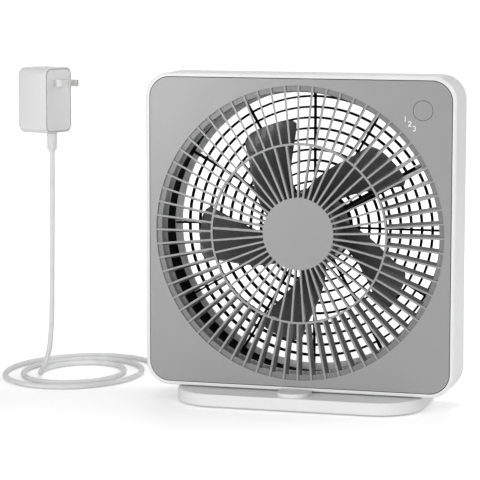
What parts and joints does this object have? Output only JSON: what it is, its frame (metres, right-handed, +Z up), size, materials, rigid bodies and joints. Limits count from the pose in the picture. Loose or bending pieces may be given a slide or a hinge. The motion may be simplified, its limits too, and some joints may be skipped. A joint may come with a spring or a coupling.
{
  "type": "box fan",
  "caption": "Square box fan with a round radial grille, a tilting base plate, a corner push button and a coiled lead to a wall adapter.",
  "frame": {"origin": "on the table, under the middle of the fan and its stand; the lead, its coil and the adapter are not counted", "axes": "+X to the right as seen from the front, +Y to the rear (the fan blows towards -Y), +Z up"},
  "size_m": [0.45, 0.218, 0.293],
  "materials": {
    "white_shell": "satin moulded",
    "grey_panel": "fine matte",
    "grey_button": "fine matte",
    "white_print": "translucent inlay",
    "smoke_plastic": "satin smoke grey",
    "black_plastic": "matte black",
    "clear_plastic": "frosted",
    "foot_rubber": "matte",
    "pad_rubber": "matte",
    "weight_steel": "rough",
    "bracket_steel": "dark coat",
    "screw_steel": "plated",
    "pin_steel": "ground",
    "core_steel": "pressed sheet",
    "magnet_black": "matte",
    "tube_brass": "turned",
    "coil_copper": "varnished wire",
    "circuit_board": "solder mask",
    "lead_cover": "matte",
    "white_cord": "soft satin",
    "white_cord_plastic": "satin",
    "adapter_face": "matte",
    "blade_metal": "polished plating"
  },
  "bodies": {
    "stand": {"stand_plate": "white_shell", "stand_cover": "white_shell", "stand_weight": "weight_steel", "stand_feet": "foot_rubber", "stand_screws": "screw_steel", "stop_tab": "white_shell", "left_bracket": "bracket_steel", "right_bracket": "bracket_steel", "power_inlet": "black_plastic", "stand_lead": "lead_cover", "dc_plug": "white_cord_plastic", "plug_relief": "white_cord", "cord_run": "white_cord", "cord_coil": "white_cord", "cord_drop": "white_cord", "adapter_relief": "white_cord", "adapter_case": "white_cord_plastic", "adapter_cap": "adapter_face", "plug_blades": "blade_metal", "adapter_board": "circuit_board", "adapter_transformer": "coil_copper"},
    "fan_head": {"front_panel": "grey_panel", "speed_marks": "white_print", "rear_shell": "white_shell", "duct_ring": "black_plastic", "rear_grille": "black_plastic", "hinge_pins": "pin_steel", "friction_washers": "pin_steel", "panel_screws": "screw_steel", "control_board": "circuit_board", "board_parts": "black_plastic", "tact_switch": "black_plastic", "light_guide": "clear_plastic", "board_screws": "screw_steel", "head_lead": "lead_cover", "motor_lead": "lead_cover", "motor_base": "black_plastic", "bearing_tube": "tube_brass", "front_bearing": "pin_steel", "rear_bearing": "pin_steel", "stator_core": "core_steel", "stator_coils": "coil_copper", "motor_board": "circuit_board", "motor_screws": "screw_steel", "return_pad": "pad_rubber"},
    "impeller": {"impeller": "smoke_plastic", "rotor_can": "core_steel", "magnet_ring": "magnet_black", "motor_shaft": "pin_steel", "hub_nut": "screw_steel"},
    "button": {"push_button": "grey_button", "switch_plunger": "white_shell"}
  },
  "joints": [
    {"name": "tilt", "type": "hinge", "parent": "stand", "child": "fan_head", "pos_m": [0, 0.012, 0.033], "axis": [-1, 0, 0], "range_deg": [0, 25]},
    {"name": "impeller_spin", "type": "hinge", "parent": "fan_head", "child": "impeller", "pos_m": [0, 0, 0.153], "axis": [0, 1, 0], "continuous": true},
    {"name": "button_press", "type": "slide", "parent": "fan_head", "child": "button", "axis": [0, 1, 0], "range_m": [0, 0.0012], "stiffness_N_per_m": 800, "springref_m": -0.0006, "deforming": ["return_pad"]}
  ]
}
